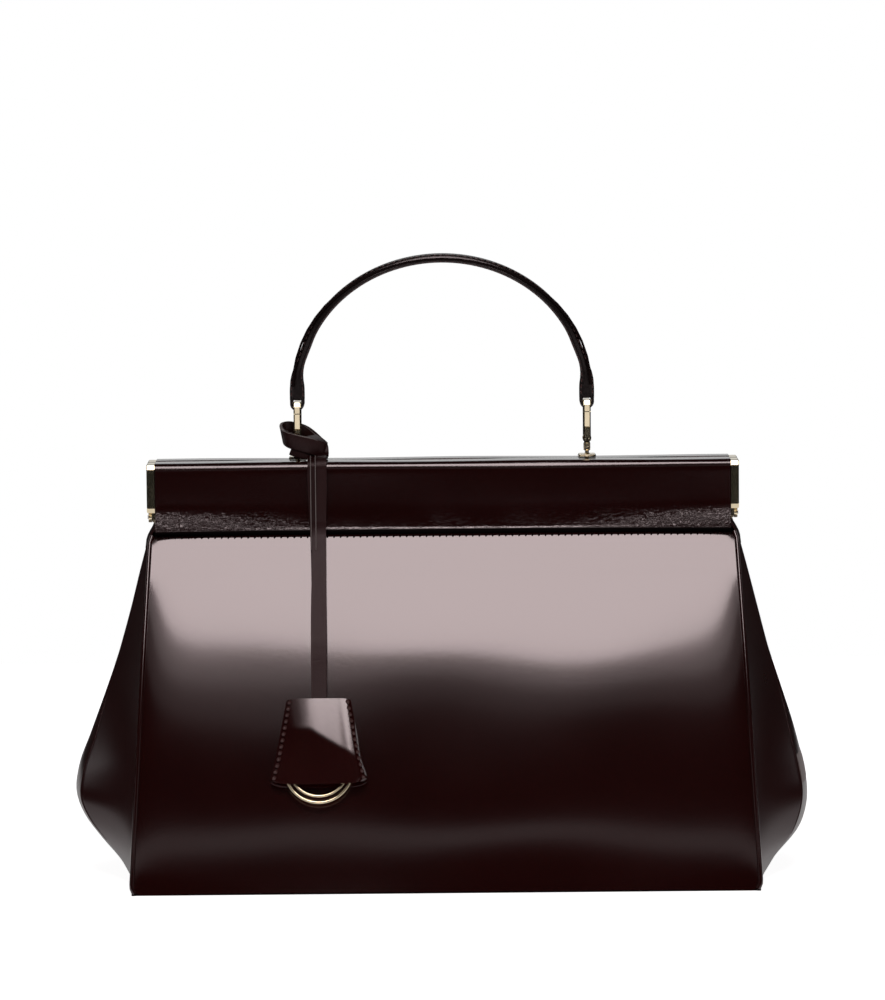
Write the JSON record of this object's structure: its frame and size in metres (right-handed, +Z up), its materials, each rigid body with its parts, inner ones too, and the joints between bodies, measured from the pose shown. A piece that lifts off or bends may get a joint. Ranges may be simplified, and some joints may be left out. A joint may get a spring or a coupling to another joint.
{
  "type": "top handle bag",
  "caption": "Structured frame bag with soft folded gussets, a stiff arched top handle on links, a hinged frame opening and a leather key bell hung on a looped strap",
  "frame": {"origin": "middle of the foot, on the ground", "axes": "+X to the right in the picture, -Y to the front, +Z up"},
  "size_m": [0.3804, 0.1602, 0.3212],
  "materials": {
    "leather": "polished dark burgundy calf",
    "handle_leather": "polished black-brown calf",
    "gold": "polished pale gold plating",
    "steel": "plain steel",
    "lining": "soft suede-like lining",
    "board": "pressed fibre board"
  },
  "bodies": {
    "bag_body": {"front_panel": "leather", "rear_panel": "leather", "gusset_left": "leather", "gusset_right": "leather", "base_panel": "leather", "base_board": "board", "lining": "lining", "front_rail": "steel", "front_cover": "leather", "front_end_plate_left": "gold", "front_end_plate_right": "gold", "hinge_pin_left": "steel", "hinge_pin_right": "steel", "front_magnet_left": "steel", "front_magnet_right": "steel", "strap_fold": "leather"},
    "rear_frame": {"rear_rail": "steel", "rear_cover": "leather", "rear_end_plate_left": "gold", "rear_end_plate_right": "gold", "rear_magnet_left": "steel", "rear_magnet_right": "steel", "fixing_plate_left": "gold", "fixing_plate_right": "gold", "post_left": "gold", "post_right": "gold", "strap_knot": "leather"},
    "charm": {"strap_front_leaf": "leather", "strap_back_leaf": "leather", "strap_ring_loop": "leather"},
    "clochette": {"bell_front_leaf": "leather", "bell_back_leaf": "leather"},
    "ring": {"key_ring": "gold"},
    "left_link": {"link_left": "gold"},
    "right_link": {"link_right": "gold"},
    "handle": {"handle_top": "handle_leather", "handle_core": "board", "handle_under": "handle_leather", "handle_end_left": "handle_leather", "handle_end_right": "handle_leather"}
  },
  "joints": [
    {"name": "frame_open", "type": "hinge", "parent": "bag_body", "child": "rear_frame", "pos_m": [0, 0, 0.1853], "axis": [-1, 0, 0], "range_deg": [0, 60]},
    {"name": "charm_swing", "type": "hinge", "parent": "bag_body", "child": "charm", "pos_m": [-0.0647, -0.0168, 0.2066], "axis": [1, 0, 0], "range_deg": [-60, 0]},
    {"name": "clochette_slide", "type": "slide", "parent": "charm", "child": "clochette", "axis": [0, 0.3548, 0.9349], "range_m": [0, 0.028]},
    {"name": "key_ring_swing", "type": "hinge", "parent": "charm", "child": "ring", "pos_m": [-0.0647, -0.06269, 0.07979], "axis": [0, -0.9349, 0.3548], "range_deg": [-7, 7]},
    {"name": "link_left_swing", "type": "hinge", "parent": "rear_frame", "child": "left_link", "pos_m": [-0.0755, 0.00695, 0.2242], "axis": [0, 1, 0], "range_deg": [-17, 17]},
    {"name": "handle_level", "type": "hinge", "parent": "left_link", "child": "handle", "pos_m": [-0.0755, 0.00695, 0.2433], "axis": [0, 1, 0], "range_deg": [-17, 17]},
    {"name": "link_right_swing", "type": "hinge", "parent": "rear_frame", "child": "right_link", "pos_m": [0.0755, 0.00695, 0.2242], "axis": [0, 1, 0], "range_deg": [-17, 17]}
  ],
  "couplings": [
    {"joint": "handle_level", "follows": "link_left_swing", "ratio": -1},
    {"joint": "link_right_swing", "follows": "link_left_swing", "ratio": 1}
  ]
}
